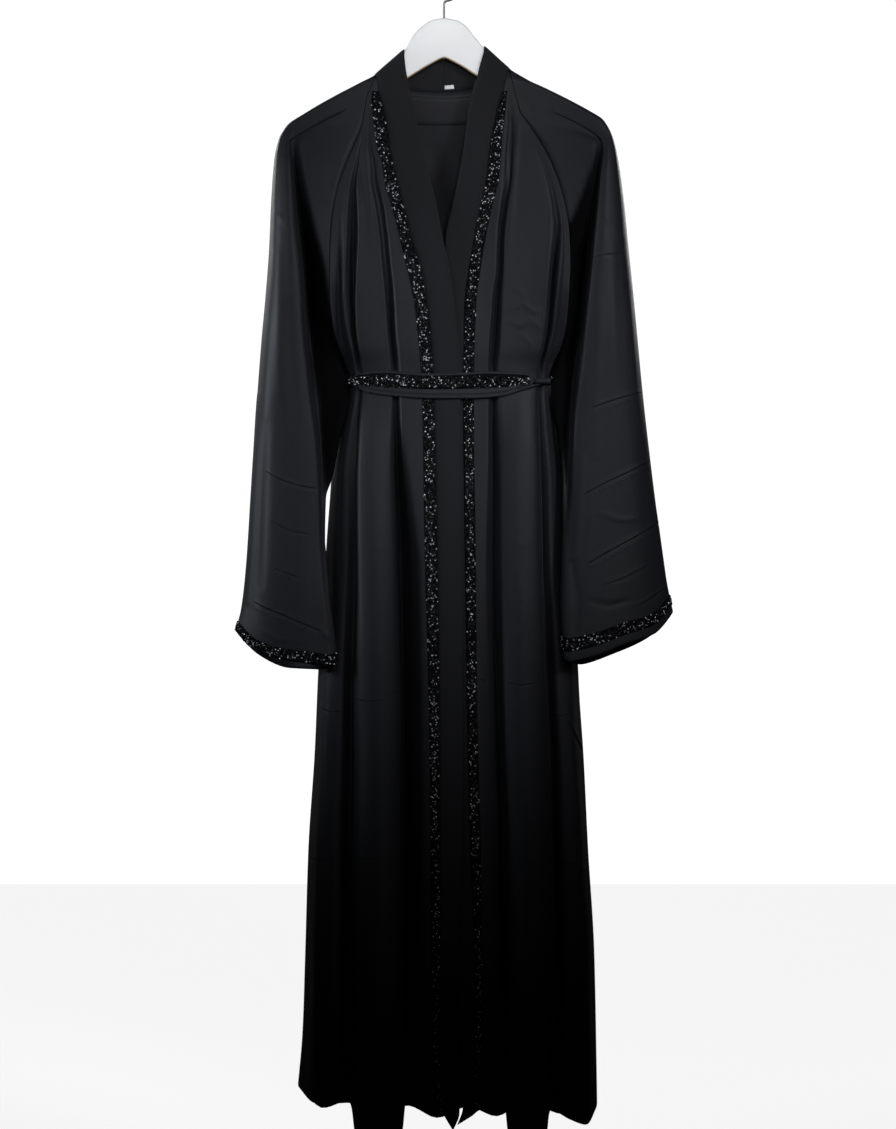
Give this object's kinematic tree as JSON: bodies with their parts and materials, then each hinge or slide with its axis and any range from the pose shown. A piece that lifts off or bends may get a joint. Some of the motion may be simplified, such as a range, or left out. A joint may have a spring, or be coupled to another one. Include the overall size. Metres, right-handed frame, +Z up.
{
  "type": "abaya cloak on a hanger",
  "caption": "Floor-length open-front cloak with raglan bell sleeves, beaded trims and a tie belt, on a flat wooden hanger.",
  "frame": {"origin": "inner crown of the hanger's hook, where it hangs on a rail", "axes": "+Z up, the front of the cloak faces -Y, +X is the right side as seen from the front"},
  "size_m": [0.6185, 0.1847, 1.6367],
  "materials": {
    "satin": "soft satin",
    "crepe": "matt crepe",
    "beads": "close glossy beading on cloth",
    "tab": "matt woven",
    "white_wood": "white paint, satin",
    "steel": "bright wire"
  },
  "bodies": {
    "root": {"back_panel": "satin", "front_left": "satin", "front_right": "satin", "sleeve_left": "satin", "sleeve_right": "satin", "neck_band_left": "crepe", "neck_band_right": "crepe", "trim_left": "beads", "trim_right": "beads", "cuff_trim_left": "beads", "cuff_trim_right": "beads", "belt_front": "satin", "belt_trim": "beads", "belt_tie_back": "satin", "belt_loop_left": "satin", "belt_loop_right": "satin", "back_neck_facing": "satin", "size_tab": "tab", "hanger_wood": "white_wood", "hanger_hook": "steel"}
  },
  "joints": []
}
